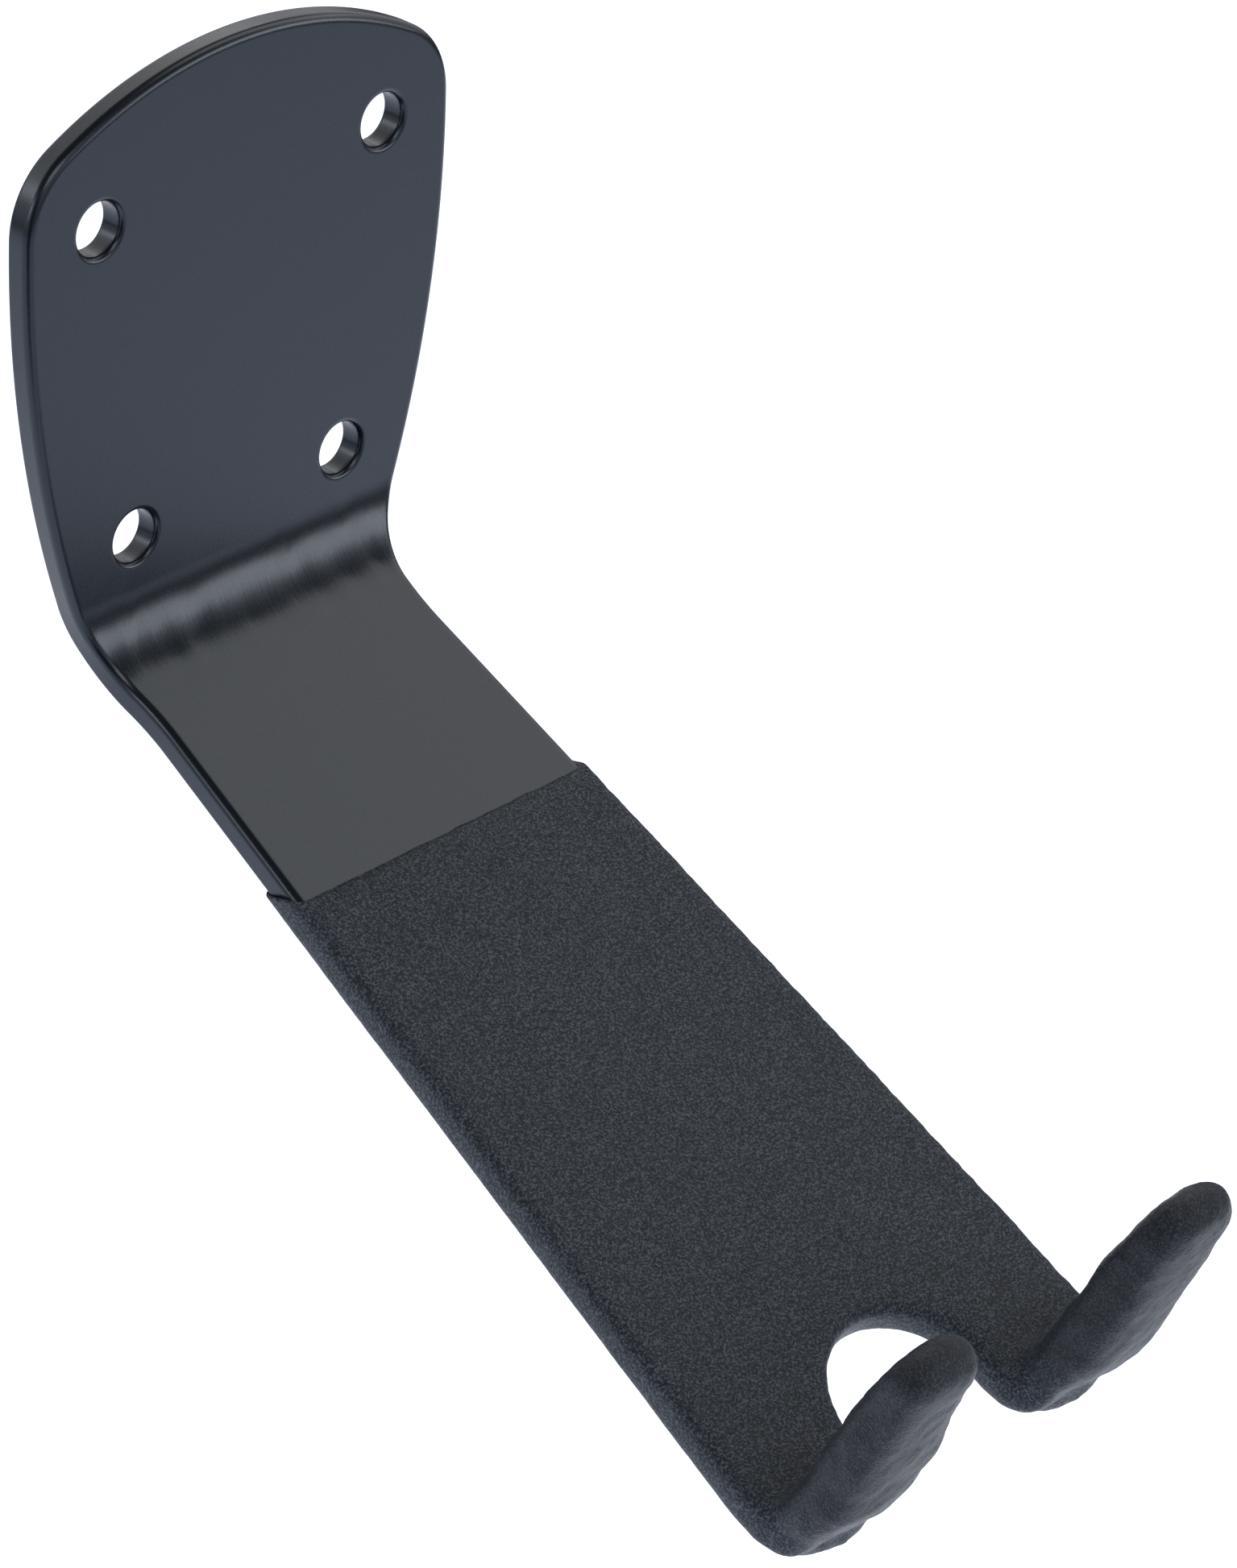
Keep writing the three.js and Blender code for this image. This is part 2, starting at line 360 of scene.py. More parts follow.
@dataclass(frozen=True)
class BlankOutline:
    """The flat outline of the steel, and of the coat that grows over its end."""

    profile: SideProfile
    plate_top: float
    plate_width: float
    arch_radius: float = 69.7 * MM
    shoulder_radius: float = 13.6 * MM
    side_radius: float = 176.0 * MM
    side_centre_up: float = 22.0 * MM
    neck_radius: float = 46.0 * MM
    arm_top_width: float = 52.2 * MM
    arm_end_width: float = 69.2 * MM
    notch_radius: float = 14.0 * MM
    notch_above_bend: float = 18.5 * MM
    prong_foot_width: float = 15.1 * MM
    prong_tip_width: float = 12.0 * MM
    prong_gap: float = 33.9 * MM
    flare_length: float = 14.0 * MM

    def arm_half_width(self, down: float) -> float:
        """Half the arm's width at a distance down the sheet."""
        share = (down - self.profile.arm_at) / self.profile.arm_length
        return (self.arm_top_width + (self.arm_end_width - self.arm_top_width) * share) / 2

    def draw_plate(self, pen: OutlinePen) -> None:
        """Draws the right edge from the top of the arch down to the arm.

        Args:
            pen: a pen at the top of the arch.
        """
        arch = Vector((0.0, self.plate_top - self.arch_radius))
        side = Vector((self.plate_width / 2 - self.side_radius, self.side_centre_up))
        apart = side - arch
        arch_reach = self.arch_radius - self.shoulder_radius
        side_reach = self.side_radius - self.shoulder_radius
        along = (arch_reach**2 - side_reach**2 + apart.length_squared) / (2 * apart.length)
        aside = math.sqrt(arch_reach**2 - along**2)
        ahead = apart.normalized()
        shoulder = arch + ahead * along + Vector((ahead.y, -ahead.x)) * aside
        arm_at = self.profile.arm_at
        edge = Vector((self.arm_half_width(arm_at), -arm_at))
        arm_end = self.profile.prong_bend_at
        slope = (Vector((self.arm_half_width(arm_end), -arm_end)) - edge).normalized()
        outward = Vector((-slope.y, slope.x))
        offset = edge + outward * self.neck_radius - side
        reach = self.side_radius + self.neck_radius
        half = offset.dot(slope)
        root = math.sqrt(half**2 - offset.length_squared + reach**2)
        neck = side + offset + slope * (root - half)
        top_turn = math.atan2(*(shoulder - arch).yx)
        shoulder_turn = math.atan2(*(shoulder - side).yx)
        side_turn = math.atan2(*(neck - side).yx)
        neck_turn = math.atan2(*(-outward).yx)
        pen.arc(arch, top_turn - math.pi / 2)
        pen.arc(shoulder, shoulder_turn - top_turn)
        pen.arc(side, side_turn - shoulder_turn)
        pen.arc(neck, (neck_turn - side_turn + math.pi) % (2 * math.pi))

    def draw_prong(self, pen: OutlinePen, on_arm: float, on_prong: float) -> None:
        """Draws the right edge from the arm, round the prong to the notch.

        Args:
            pen: a pen on the arm's right edge.
            on_arm: how far outside the steel to stay on the arm.
            on_prong: how far outside the steel to stay on the prong.
        """
        bend_at = self.profile.prong_bend_at
        outer = self.prong_gap / 2 + self.prong_foot_width + on_prong
        inner = self.prong_gap / 2 - on_prong
        tip_radius = self.prong_tip_width / 2 + on_prong
        tip_y = -(self.profile.tip_at + on_prong - tip_radius)
        settled = -(bend_at + self.flare_length)
        arm_end = -(bend_at - self.flare_length / 2)
        beside = self.arm_half_width(-arm_end) + on_arm
        at_bend = self.arm_half_width(bend_at) + on_arm
        notch_radius = self.notch_radius - on_arm
        notch_y = -(bend_at - self.notch_above_bend + self.notch_radius)
        half = (arm_end + settled) / 2
        half_notch = (notch_y + settled) / 2
        pen.line(Vector((beside, arm_end)))
        pen.curve(Vector((at_bend, half)), Vector((outer, half)), Vector((outer, settled)))
        pen.line(Vector((outer, tip_y)))
        pen.arc(Vector((outer - tip_radius, tip_y)), -math.pi)
        pen.line(Vector((inner, settled)))
        pen.curve(
            Vector((inner, half_notch)),
            Vector((notch_radius, half_notch)),
            Vector((notch_radius, notch_y)),
        )
        pen.arc(Vector((0.0, notch_y)), math.pi / 2)

    def draw_steel(self, mesh: bmesh.types.BMesh) -> None:
        """Draws the whole steel outline."""
        pen = OutlinePen(mesh, Vector((0.0, self.plate_top)))
        self.draw_plate(pen)
        self.draw_prong(pen, 0.0, 0.0)
        self._complete(mesh)

    def draw_coat(
        self, mesh: bmesh.types.BMesh, start: float, on_arm: float, on_prong: float
    ) -> None:
        """Draws the whole outline of the coat.

        Args:
            mesh: the bmesh to draw in.
            start: how far down the sheet the outline starts.
            on_arm: the coat's thickness beside the arm.
            on_prong: the coat's thickness beside the prongs.
        """
        pen = OutlinePen(mesh, Vector((0.0, -start)))
        pen.line(Vector((self.arm_half_width(start) + on_arm, -start)))
        self.draw_prong(pen, on_arm, on_prong)
        self._complete(mesh)

    def _complete(self, mesh: bmesh.types.BMesh) -> None:
        """Mirrors the right half of an outline and joins the two."""
        halves = mesh.verts[:] + mesh.edges[:]
        bmesh.ops.mirror(mesh, geom=halves, matrix=Matrix.Identity(4), merge_dist=1e-6, axis="X")


@dataclass
class SheetBody:
    """A flat outline made a plate with rounded edges."""

    mesh: bmesh.types.BMesh
    bottom: float
    top: float

    def thicken(self) -> None:
        """Fills the outline and pulls it up to its thickness."""
        bmesh.ops.triangle_fill(self.mesh, use_beauty=True, edges=self.mesh.edges[:])
        bmesh.ops.translate(self.mesh, verts=self.mesh.verts[:], vec=(0.0, 0.0, self.bottom))
        pulled = bmesh.ops.extrude_face_region(self.mesh, geom=self.mesh.faces[:])["geom"]
        verts = [part for part in pulled if isinstance(part, bmesh.types.BMVert)]
        bmesh.ops.translate(self.mesh, verts=verts, vec=(0.0, 0.0, self.top - self.bottom))
        bmesh.ops.recalc_face_normals(self.mesh, faces=self.mesh.faces[:])

    def round_edges(self, side: SheetEdge, radius: float, steps: int, land: float) -> None:
        """Rounds the edges all round one face, with a flat land inside them.

        Args:
            side: which face of the plate.
            radius: the radius of the rounding.
            steps: how many facets it has.
            land: the width of the narrow ring that keeps the face looking flat.
        """
        level = self.top if side is SheetEdge.FRONT else self.bottom
        faces = [
            face
            for face in self.mesh.faces
            if all(abs(vert.co.z - level) < TOLERANCE for vert in face.verts)
        ]
        verts = list({vert for face in faces for vert in face.verts})
        lowered = Vector((0.0, 0.0, -radius * side.value))
        bmesh.ops.translate(self.mesh, verts=verts, vec=lowered)
        quarter = math.pi / 2
        for step in range(steps):
            low, high = quarter * step / steps, quarter * (step + 1) / steps
            self._inset(faces, radius * (math.cos(low) - math.cos(high)))
            rise = radius * (math.sin(high) - math.sin(low)) * side.value
            verts = list({vert for face in faces for vert in face.verts})
            bmesh.ops.translate(self.mesh, verts=verts, vec=(0.0, 0.0, rise))
        self._inset(faces, land)

    def _inset(self, faces: list[bmesh.types.BMFace], width: float) -> None:
        """Draws the faces in from their border by a width."""
        bmesh.ops.inset_region(
            self.mesh,
            faces=faces,
            use_boundary=True,
            use_even_offset=True,
            thickness=width,
        )

    def cut(
        self, point: Vector, normal: Vector, near: Optional[tuple[float, float]] = None
    ) -> None:
        """Cuts the mesh along a plane and keeps both sides.

        Args:
            point: a point of the plane.
            normal: its direction.
            near: the lowest and highest y of the faces to cut, or all of them.
        """
        faces = self.mesh.faces[:]
        if near is not None:
            faces = [face for face in faces if near[0] < face.calc_center_median().y < near[1]]
        geom = list({part for face in faces for part in (face, *face.edges, *face.verts)})
        bmesh.ops.bisect_plane(
            self.mesh, geom=geom, dist=TOLERANCE, plane_co=point, plane_no=normal
        )

    def cut_across(self, start: float, end: float, count: int) -> None:
        """Cuts the mesh across at equal distances, so that it can bend there."""
        for step in range(count + 1):
            down = start + (end - start) * step / count
            self.cut(Vector((0.0, -down, 0.0)), Vector((0.0, 1.0, 0.0)))


@dataclass(frozen=True)
class PowderCoat:
    """Polyester powder, sprayed on the steel and baked to a satin skin.

    It melts into low, wide waves, the orange peel, which soften the reflections
    and leave the colour almost even.
    """

    name: str = "satin_powder_coat"
    colour: str = "0B0E14"
    cloudy_colour: str = "0F131A"
    reflection_tint: str = "DDEBFF"
    roughness: float = 0.27
    roughness_swing: float = 0.06
    cloud_width: float = 9.0 * MM
    peel_width: float = 1.1 * MM
    peel_height: float = 0.004 * MM
    # Powder grains are about 0.05 mm wide. They are drawn coarser, so that they show.
    grit_width: float = 0.35 * MM
    grit_height: float = 0.0022 * MM
    streak_width: float = 0.5 * MM
    streak_height: float = 0.02 * MM
    drawn_out: tuple[float, float, float] = (1.0, 0.09, 1.0)
    ior: float = 1.5

    def build(self) -> bpy.types.Material:
        """Makes the material.

        Returns:
            The material, in object coordinates and the sheet's own attributes.
        """
        material, tree, shader = start_material(self.name)
        place = add_node(tree, "ShaderNodeTexCoord").outputs["Object"]
        patterns = (
            (self.cloud_width, 3.0, 0.6),
            (self.peel_width, 1.0, 0.5),
            (self.grit_width, 2.0, 0.7),
        )
        clouds, peel, grit = (
            add_node(
                tree,
                "ShaderNodeTexNoise",
                {"Vector": place, "Scale": 1 / width, "Detail": detail, "Roughness": rough},
            )
            for width, detail, rough in patterns
        )
        tone = add_node(
            tree,
            "ShaderNodeMix",
            {0: clouds.outputs["Fac"], 6: linear(self.colour), 7: linear(self.cloudy_colour)},
            data_type="RGBA",
        )
        sheet = add_node(tree, "ShaderNodeAttribute", attribute_name="sheet_place")
        drawn = add_node(
            tree,
            "ShaderNodeMapping",
            {"Vector": sheet.outputs["Vector"], "Scale": self.drawn_out},
        )
        streaks = add_node(
            tree,
            "ShaderNodeTexNoise",
            {"Vector": drawn.outputs["Vector"], "Scale": 1 / self.streak_width, "Detail": 2.0},
        )
        stretch = add_node(tree, "ShaderNodeAttribute", attribute_name="stretch")
        reliefs = (
            (peel, 1.0, self.peel_height),
            (grit, 1.0, self.grit_height),
            (streaks, stretch.outputs["Fac"], self.streak_height),
        )
        below: dict[str | int, Any] = {}
        for pattern, strength, height in reliefs:
            raised = {"Height": pattern.outputs["Fac"], "Strength": strength, "Distance": height}
            relief = add_node(tree, "ShaderNodeBump", {**raised, **below})
            below = {"Normal": relief.outputs["Normal"]}
        rough = add_node(
            tree,
            "ShaderNodeMapRange",
            {
                "Value": grit.outputs["Fac"],
                "To Min": self.roughness - self.roughness_swing,
                "To Max": self.roughness + self.roughness_swing,
            },
        )
        tree.links.new(tone.outputs[2], shader.inputs["Base Color"])
        tree.links.new(rough.outputs["Result"], shader.inputs["Roughness"])
        tree.links.new(relief.outputs["Normal"], shader.inputs["Normal"])
        shader.inputs["IOR"].default_value = self.ior
        shader.inputs["Specular Tint"].default_value = linear(self.reflection_tint)
        return material


@dataclass(frozen=True)
class SoftDip:
    """Foamed vinyl that the hot steel was dipped in, matt like fine suede.

    Burst cells at its skin leave a dense grain, which scatters the light: the
    surface has no sharp highlight, only a mottled shine on its lumps. Its colour
    is darkened from the arm's face up to the prongs, a painted shade.
    """

    name: str = "suede_soft_dip"
    colour: str = "20252C"
    dark_colour: str = "0B0D11"
    light_colour: str = "4A5361"
    # Painted shade: the colour darkens from the arm's face up the prongs, over these heights.
    prong_shade_colour: str = "070910"
    prong_shade_share: float = 0.6
    prong_shade_over: tuple[float, float] = (1.0 * MM, 9.0 * MM)
    speckle_at: tuple[float, float, float] = (0.41, 0.5, 0.61)
    reflection_tint: str = "E6F1FF"
    grain_width: float = 0.36 * MM
    grain_height: float = 0.34 * MM
    fibre_width: float = 0.3 * MM
    fibre_height: float = 0.12 * MM
    brushed_out: tuple[float, float, float] = (0.35, 1.0, 1.0)
    cloud_width: float = 7.0 * MM
    roughness: tuple[float, float] = (0.38, 0.48)
    ior: float = 1.36

    def build(self, on_face: Vector, away: Vector) -> bpy.types.Material:
        """Makes the material.

        Args:
            on_face: a point of the arm's coated face.
            away: the direction the face looks, in which the prongs stand up.

        Returns:
            The material, in object coordinates.
        """
        material, tree, shader = start_material(self.name)
        place = add_node(tree, "ShaderNodeTexCoord").outputs["Object"]
        grain = add_node(
            tree,
            "ShaderNodeTexNoise",
            {"Vector": place, "Scale": 1 / self.grain_width, "Detail": 3.0, "Roughness": 0.65},
        )
        clouds = add_node(
            tree,
            "ShaderNodeTexNoise",
            {"Vector": place, "Scale": 1 / self.cloud_width, "Detail": 2.0},
        )
        brushed = add_node(tree, "ShaderNodeMapping", {"Vector": place, "Scale": self.brushed_out})
        fibres = add_node(
            tree,
            "ShaderNodeTexNoise",
            {
                "Vector": brushed.outputs["Vector"],
                "Scale": 1 / self.fibre_width,
                "Detail": 1.0,
                "Distortion": 0.6,
            },
        )
        speckle = add_node(tree, "ShaderNodeValToRGB", {"Fac": grain.outputs["Fac"]})
        dark_at, middle_at, light_at = self.speckle_at
        ramp = speckle.color_ramp
        ramp.elements[0].position = dark_at
        ramp.elements[0].color = linear(self.dark_colour)
        ramp.elements[1].position = light_at
        ramp.elements[1].color = linear(self.light_colour)
        ramp.elements.new(middle_at).color = linear(self.colour)
        below: dict[str | int, Any] = {}
        for pattern, height in ((grain, self.grain_height), (fibres, self.fibre_height)):
            raised = {"Height": pattern.outputs["Fac"], "Strength": 1.0, "Distance": height}
            relief = add_node(tree, "ShaderNodeBump", {**raised, **below})
            below = {"Normal": relief.outputs["Normal"]}
        rough = add_node(
            tree,
            "ShaderNodeMapRange",
            {
                "Value": clouds.outputs["Fac"],
                "To Min": self.roughness[0],
                "To Max": self.roughness[1],
            },
        )
        # Painted shade: the prongs are darkened more the higher they stand over the arm's face.
        over = add_node(tree, "ShaderNodeVectorMath", {0: place, 1: on_face}, operation="SUBTRACT")
        above = add_node(
            tree,
            "ShaderNodeVectorMath",
            {0: over.outputs["Vector"], 1: away},
            operation="DOT_PRODUCT",
        )
        prong_shade = add_node(
            tree,
            "ShaderNodeMapRange",
            {
                "Value": above.outputs["Value"],
                "From Min": self.prong_shade_over[0],
                "From Max": self.prong_shade_over[1],
                "To Max": self.prong_shade_share,
            },
        )
        tone = add_node(
            tree,
            "ShaderNodeMix",
            {0: prong_shade.outputs["Result"], 6: speckle.outputs["Color"], 7: linear(self.prong_shade_colour)},
            data_type="RGBA",
        )
        tree.links.new(tone.outputs[2], shader.inputs["Base Color"])
        tree.links.new(rough.outputs["Result"], shader.inputs["Roughness"])
        tree.links.new(relief.outputs["Normal"], shader.inputs["Normal"])
        shader.inputs["IOR"].default_value = self.ior
        shader.inputs["Specular Tint"].default_value = linear(self.reflection_tint)
        return material


@dataclass
class SteelBracket:
    """The cut, rounded, bent and painted steel blank."""

    outline: BlankOutline
    hole_centres: list[Vector]
    hole_radius: float = 4.0 * MM
    front_round: float = 1.25 * MM
    back_round: float = 0.35 * MM
    hole_round: float = 0.85 * MM
    land: float = 0.2 * MM
    ripple: float = 0.12 * MM
    ripple_width: float = 3.2 * MM
    ripple_along: float = 0.35
    hole_facets: int = 72
    front_facets: int = 8
    back_facets: int = 3
    plate_bend_cuts: int = 30
    prong_bend_cuts: int = 8
    lengthwise_cuts: int = 40
    cut_past_bend: tuple[float, float] = (4.0 * MM, 2.0 * MM)
    hole_slack: float = 0.1 * MM
    stretch_in: tuple[float, float] = (-3.0 * MM, 6.0 * MM)
    stretch_out: tuple[float, float] = (4.0 * MM, -5.0 * MM)

    def build(self) -> bpy.types.Object:
        """Makes the bracket's mesh.

        Returns:
            The bracket's object, in its place.
        """
        profile = self.outline.profile
        mesh = bmesh.new()
        self.outline.draw_steel(mesh)
        for centre in self.hole_centres:
            bmesh.ops.create_circle(
                mesh,
                cap_ends=False,
                segments=self.hole_facets,
                radius=self.hole_radius,
                matrix=Matrix.Translation((*centre, 0.0)),
            )
        body = SheetBody(mesh, 0.0, profile.sheet)
        body.thicken()
        body.round_edges(SheetEdge.FRONT, self.front_round, self.front_facets, self.land)
        body.round_edges(SheetEdge.BACK, self.back_round, self.back_facets, self.land)
        self._tighten_holes(mesh)
        up = Vector((0.0, 0.0, 1.0))
        body.cut(up * (self.back_round + self.land), up)
        body.cut(up * (profile.sheet - self.front_round - self.land), up)
        body.cut_across(profile.plate_bend_at, profile.arm_at, self.plate_bend_cuts)
        body.cut_across(profile.prong_bend_at, profile.prong_at, self.prong_bend_cuts)
        self._cut_lengthwise(body)
        self._mark_sheet(mesh)
        self._ripple_bend(mesh)
        profile.fold(mesh)
        piece = make_object(mesh, "painted_steel_bracket")
        piece.data.materials.append(PowderCoat().build())
        return piece

    def _tighten_holes(self, mesh: bmesh.types.BMesh) -> None:
        """Makes the rounding at the screw holes finer than round the blank."""
        top = self.outline.profile.sheet
        finer = self.hole_round / self.front_round
        reach = self.hole_radius + self.front_round + self.land + self.hole_slack
        for vert in mesh.verts:
            for centre in self.hole_centres:
                out = vert.co.xy - centre
                if out.length > reach or vert.co.z < top / 2:
                    continue
                wide = self.hole_radius + (out.length - self.hole_radius) * finer
                vert.co.xy = centre + out.normalized() * wide
                vert.co.z = top - (top - vert.co.z) * finer

    def _cut_lengthwise(self, body: SheetBody) -> None:
        """Cuts the plate's bend lengthwise, so that it can carry a ripple."""
        profile = self.outline.profile
        below, above = self.cut_past_bend
        near = (-profile.arm_at - below, -profile.plate_bend_at + above)
        reach = self.outline.arm_top_width / 2
        for step in range(1, self.lengthwise_cuts):
            across = reach * (2 * step / self.lengthwise_cuts - 1)
            body.cut(Vector((across, 0.0, 0.0)), Vector((1.0, 0.0, 0.0)), near)

    def _mark_sheet(self, mesh: bmesh.types.BMesh) -> None:
        """Keeps each vertex's place on the flat sheet, and how far it was drawn."""
        profile = self.outline.profile
        place = mesh.verts.layers.float_vector.new("sheet_place")
        stretch = mesh.verts.layers.float.new("stretch")
        for vert in mesh.verts:
            vert[place] = vert.co
            down = -vert.co.y
            into = ease(down, *(profile.plate_bend_at + past for past in self.stretch_in))
            out = ease(down, *(profile.arm_at + past for past in self.stretch_out))
            vert[stretch] = into * out

    def _ripple_bend(self, mesh: bmesh.types.BMesh) -> None:
        """Gives the inside of the bend the slight ripple of the bending tool."""
        profile = self.outline.profile
        stretch = mesh.verts.layers.float["stretch"]
        for vert in mesh.verts:
            if vert.co.z < profile.sheet - self.front_round or not vert[stretch]:
                continue
            spot = Vector((vert.co.x, vert.co.y * self.ripple_along, 0.0)) / self.ripple_width
            vert.co.z += noise.noise(spot) * self.ripple * vert[stretch]


@dataclass(frozen=True)
class ProngSection:
    """One section of a coated prong, at a height over the arm's back face."""

    height: float
    back: float
    front: float
    inner: float
    outer: float
    hollow: float = 0.0
    facets: int = 48
    hollow_reach: float = 0.75

    def draw(self, mesh: bmesh.types.BMesh, squareness: float) -> list[bmesh.types.BMEdge]:
        """Draws the section as a rounded ring, drawn in along the middle of its sides.

        Args:
            mesh: the bmesh to draw in.
            squareness: 2 for an ellipse, and more for fuller corners.

        Returns:
            The ring's edges.
        """
        circle = bmesh.ops.create_circle(mesh, cap_ends=False, segments=self.facets, radius=1.0)
        ring = circle["verts"]
        centre = Vector(((self.inner + self.outer) / 2, (self.back + self.front) / 2))
        half = Vector(((self.outer - self.inner) / 2, (self.back - self.front) / 2))
        for vert in ring:
            x, y = [math.copysign(abs(way) ** (2 / squareness), way) for way in vert.co.xy]
            drawn_in = self.hollow * (1.0 - ease(abs(y), 0.0, self.hollow_reach))
            waist = math.copysign(drawn_in, x) * abs(x)
            vert.co = (centre.x + half.x * x - waist, centre.y + half.y * y, self.height)
        return list({edge for vert in ring for edge in vert.link_edges})


@dataclass(frozen=True)
class LumpLayer:
    """Lumps of one width in the coat's skin, and their height in each part. In mm."""

    width: float
    everywhere: float
    on_prong: float
    at_foot: float = 0.0
    at_edge: float = 0.0
    seed: tuple[float, float, float] = (0.0, 0.0, 0.0)


@dataclass
class DippedSleeve:
    """The soft coat on the arm and the prongs, modelled in the arm's own frame.

    The sizes of the lip and its fraying that carry no MM are in millimetres.
    """

    outline: BlankOutline
    on_arm: float = 0.9 * MM
    on_prong: float = 1.2 * MM
    edge_round: float = 1.6 * MM
    mouth_at: float = 88.5 * MM
    dip_slope: float = 1.05
    voxel: float = 0.55 * MM
    clearance: float = 0.05 * MM
    squareness: float = 2.7
    edge_facets: int = 5
    bend_cuts: int = 8
    cut_off: float = 12.0 * MM
    ends_at: float = -182.0 * MM
    end_passes: int = 6
    skin_passes: int = 4
    sharp_from: float = math.radians(55.0)
    prong_zone: tuple[float, float] = (1.0 * MM, 8.0 * MM)
    foot_zone: tuple[float, float] = (-186.0 * MM, -196.0 * MM)
    lumps: tuple[LumpLayer, ...] = (
        LumpLayer(6.5, 0.05, 0.38, 0.25, 0.0, (3.0, 0.0, 7.0)),
        LumpLayer(2.6, 0.03, 0.14, 0.10, 0.04),
        LumpLayer(1.1, 0.03, 0.05, 0.0, 0.10),
    )
    lip_cuts: tuple[float, ...] = (0.15, 0.3, 0.5, 0.75, 1.05, 1.4, 1.9, 2.4)
    lip_reach: float = 4.0 * MM
    lip_side: tuple[float, float] = (-0.8 * MM, 0.3 * MM)
    lip_length: float = 2.8
    lip_shorter_at_side: float = 2.1
    lip_thinness: float = 0.28
    lip_fuller_at_side: float = 0.5
    lip_step: float = 0.5 * MM
    sway: float = 0.2
    sway_reach: float = 8.0 * MM
    fray: float = 0.35
    coarse_fray: float = 0.12
    fray_reach: float = 1.6 * MM
    sections: tuple[ProngSection, ...] = tuple(
        ProngSection(*(size * MM for size in sizes))
        for sizes in (
            (1.0, -190.0, -202.0, 16.0, 33.4),
            (4.6, -193.6, -200.8, 16.0, 34.2, 0.2),
            (7.6, -196.0, -204.6, 14.8, 35.1, 0.6),
            (14.0, -195.9, -205.6, 15.0, 35.2, 0.9),
            (21.0, -195.5, -205.3, 15.8, 35.0, 1.1),
            (28.0, -195.4, -204.8, 16.6, 34.8, 1.4),
            (34.0, -195.5, -204.3, 17.3, 34.6, 1.4),
            (38.5, -195.8, -203.9, 18.0, 34.2, 0.7),
            (41.2, -196.3, -203.3, 19.0, 33.4, 0.2),
            (43.0, -197.3, -202.3, 20.8, 31.8),
            (44.0, -198.8, -200.9, 23.6, 29.2),
        )
    )
    toe_centre: Vector = field(default_factory=lambda: Vector((24.2, -196.4, 1.3)) * MM)
    toe_radii: Vector = field(default_factory=lambda: Vector((10.9, 7.7, 3.6)) * MM)

    def build(self, steel: bpy.types.Object) -> bpy.types.Object:
        """Makes the coat round the finished steel.

        Args:
            steel: the bracket's object.

        Returns:
            The coat's object, in its place.
        """
        mesh = bmesh.new()
        self._add_body(mesh)
        self._add_prongs(mesh)
        self._add_toes(mesh)
        piece = make_object(mesh, "dipped_soft_coat")
        remesh = piece.modifiers.new("one_skin", "REMESH")
        remesh.mode = "VOXEL"
        remesh.voxel_size = self.voxel
        settle(piece)
        self._shape(piece)
        self._hollow(piece, steel)
        piece.data.shade_smooth()
        piece.data.set_sharp_from_angle(angle=self.sharp_from)
        piece.data.materials.clear()
        turn = self.outline.profile.arm_frame()
        on_face = turn @ Vector((0.0, 0.0, self.outline.profile.sheet + self.on_arm))
        away = turn.to_3x3() @ Vector((0.0, 0.0, 1.0))
        piece.data.materials.append(SoftDip().build(on_face, away))
        return piece

    def _add_body(self, mesh: bmesh.types.BMesh) -> None:
        """Adds an even coat all over the blank, bent with it."""
        profile = self.outline.profile
        flat = bmesh.new()
        start = self.mouth_at - self.cut_off
        self.outline.draw_coat(flat, start, self.on_arm, self.on_prong)
        body = SheetBody(flat, -self.on_arm, profile.sheet + self.on_arm)
        body.thicken()
        for side in SheetEdge:
            body.round_edges(side, self.edge_round, self.edge_facets, self.on_arm / 2)
        body.cut_across(profile.prong_bend_at, profile.prong_at, self.bend_cuts)
        profile.fold(flat)
        unbend = profile.arm_frame().inverted()
        bmesh.ops.transform(flat, matrix=unbend, verts=flat.verts[:])
        self._copy_into(flat, mesh)

    def _add_prongs(self, mesh: bmesh.types.BMesh) -> None:
        """Adds the thick, uneven coat of the two prongs."""
        prong = bmesh.new()
        rings = [section.draw(prong, self.squareness) for section in self.sections]
        for low, high in zip(rings, rings[1:]):
            bmesh.ops.bridge_loops(prong, edges=low + high)
        bmesh.ops.holes_fill(prong, edges=prong.edges[:])
        bmesh.ops.recalc_face_normals(prong, faces=prong.faces[:])
        whole = prong.verts[:] + prong.edges[:] + prong.faces[:]
        bmesh.ops.mirror(prong, geom=whole, matrix=Matrix.Identity(4), merge_dist=-1.0, axis="X")
        bmesh.ops.recalc_face_normals(prong, faces=prong.faces[:])
        self._copy_into(prong, mesh)

    def _add_toes(self, mesh: bmesh.types.BMesh) -> None:
        """Adds the drop that gathers under the foot of each prong."""
        for side in (-1.0, 1.0):
            centre = Vector((self.toe_centre.x * side, self.toe_centre.y, self.toe_centre.z))
            place = Matrix.Translation(centre) @ Matrix.Diagonal((*self.toe_radii, 1.0))
            bmesh.ops.create_icosphere(mesh, subdivisions=4, radius=1.0, matrix=place)

    def _copy_into(self, source: bmesh.types.BMesh, target: bmesh.types.BMesh) -> None:
        """Adds one bmesh to another, and frees the first."""
        data = bpy.data.meshes.new("part_of_coat")
        source.to_mesh(data)
        source.free()
        target.from_mesh(data)
        bpy.data.meshes.remove(data)

    def _shape(self, piece: bpy.types.Object) -> None:
        """Melts the parts of the coat together and gives it its uneven surface."""
        mesh = bmesh.new()
        mesh.from_mesh(piece.data)
        ends = [vert for vert in mesh.verts if vert.co.y < self.ends_at]
        axes = {"use_axis_x": True, "use_axis_y": True, "use_axis_z": True}
        for verts in [ends] * self.end_passes + [mesh.verts[:]] * self.skin_passes:
            bmesh.ops.smooth_vert(mesh, verts=verts, factor=0.5, **axes)
        mesh.normal_update()
        self._add_lumps(mesh)
        self._cut_mouth(mesh)
        bmesh.ops.transform(mesh, matrix=self.outline.profile.arm_frame(), verts=mesh.verts[:])
        bmesh.ops.recalc_face_normals(mesh, faces=mesh.faces[:])
        mesh.to_mesh(piece.data)
        mesh.free()

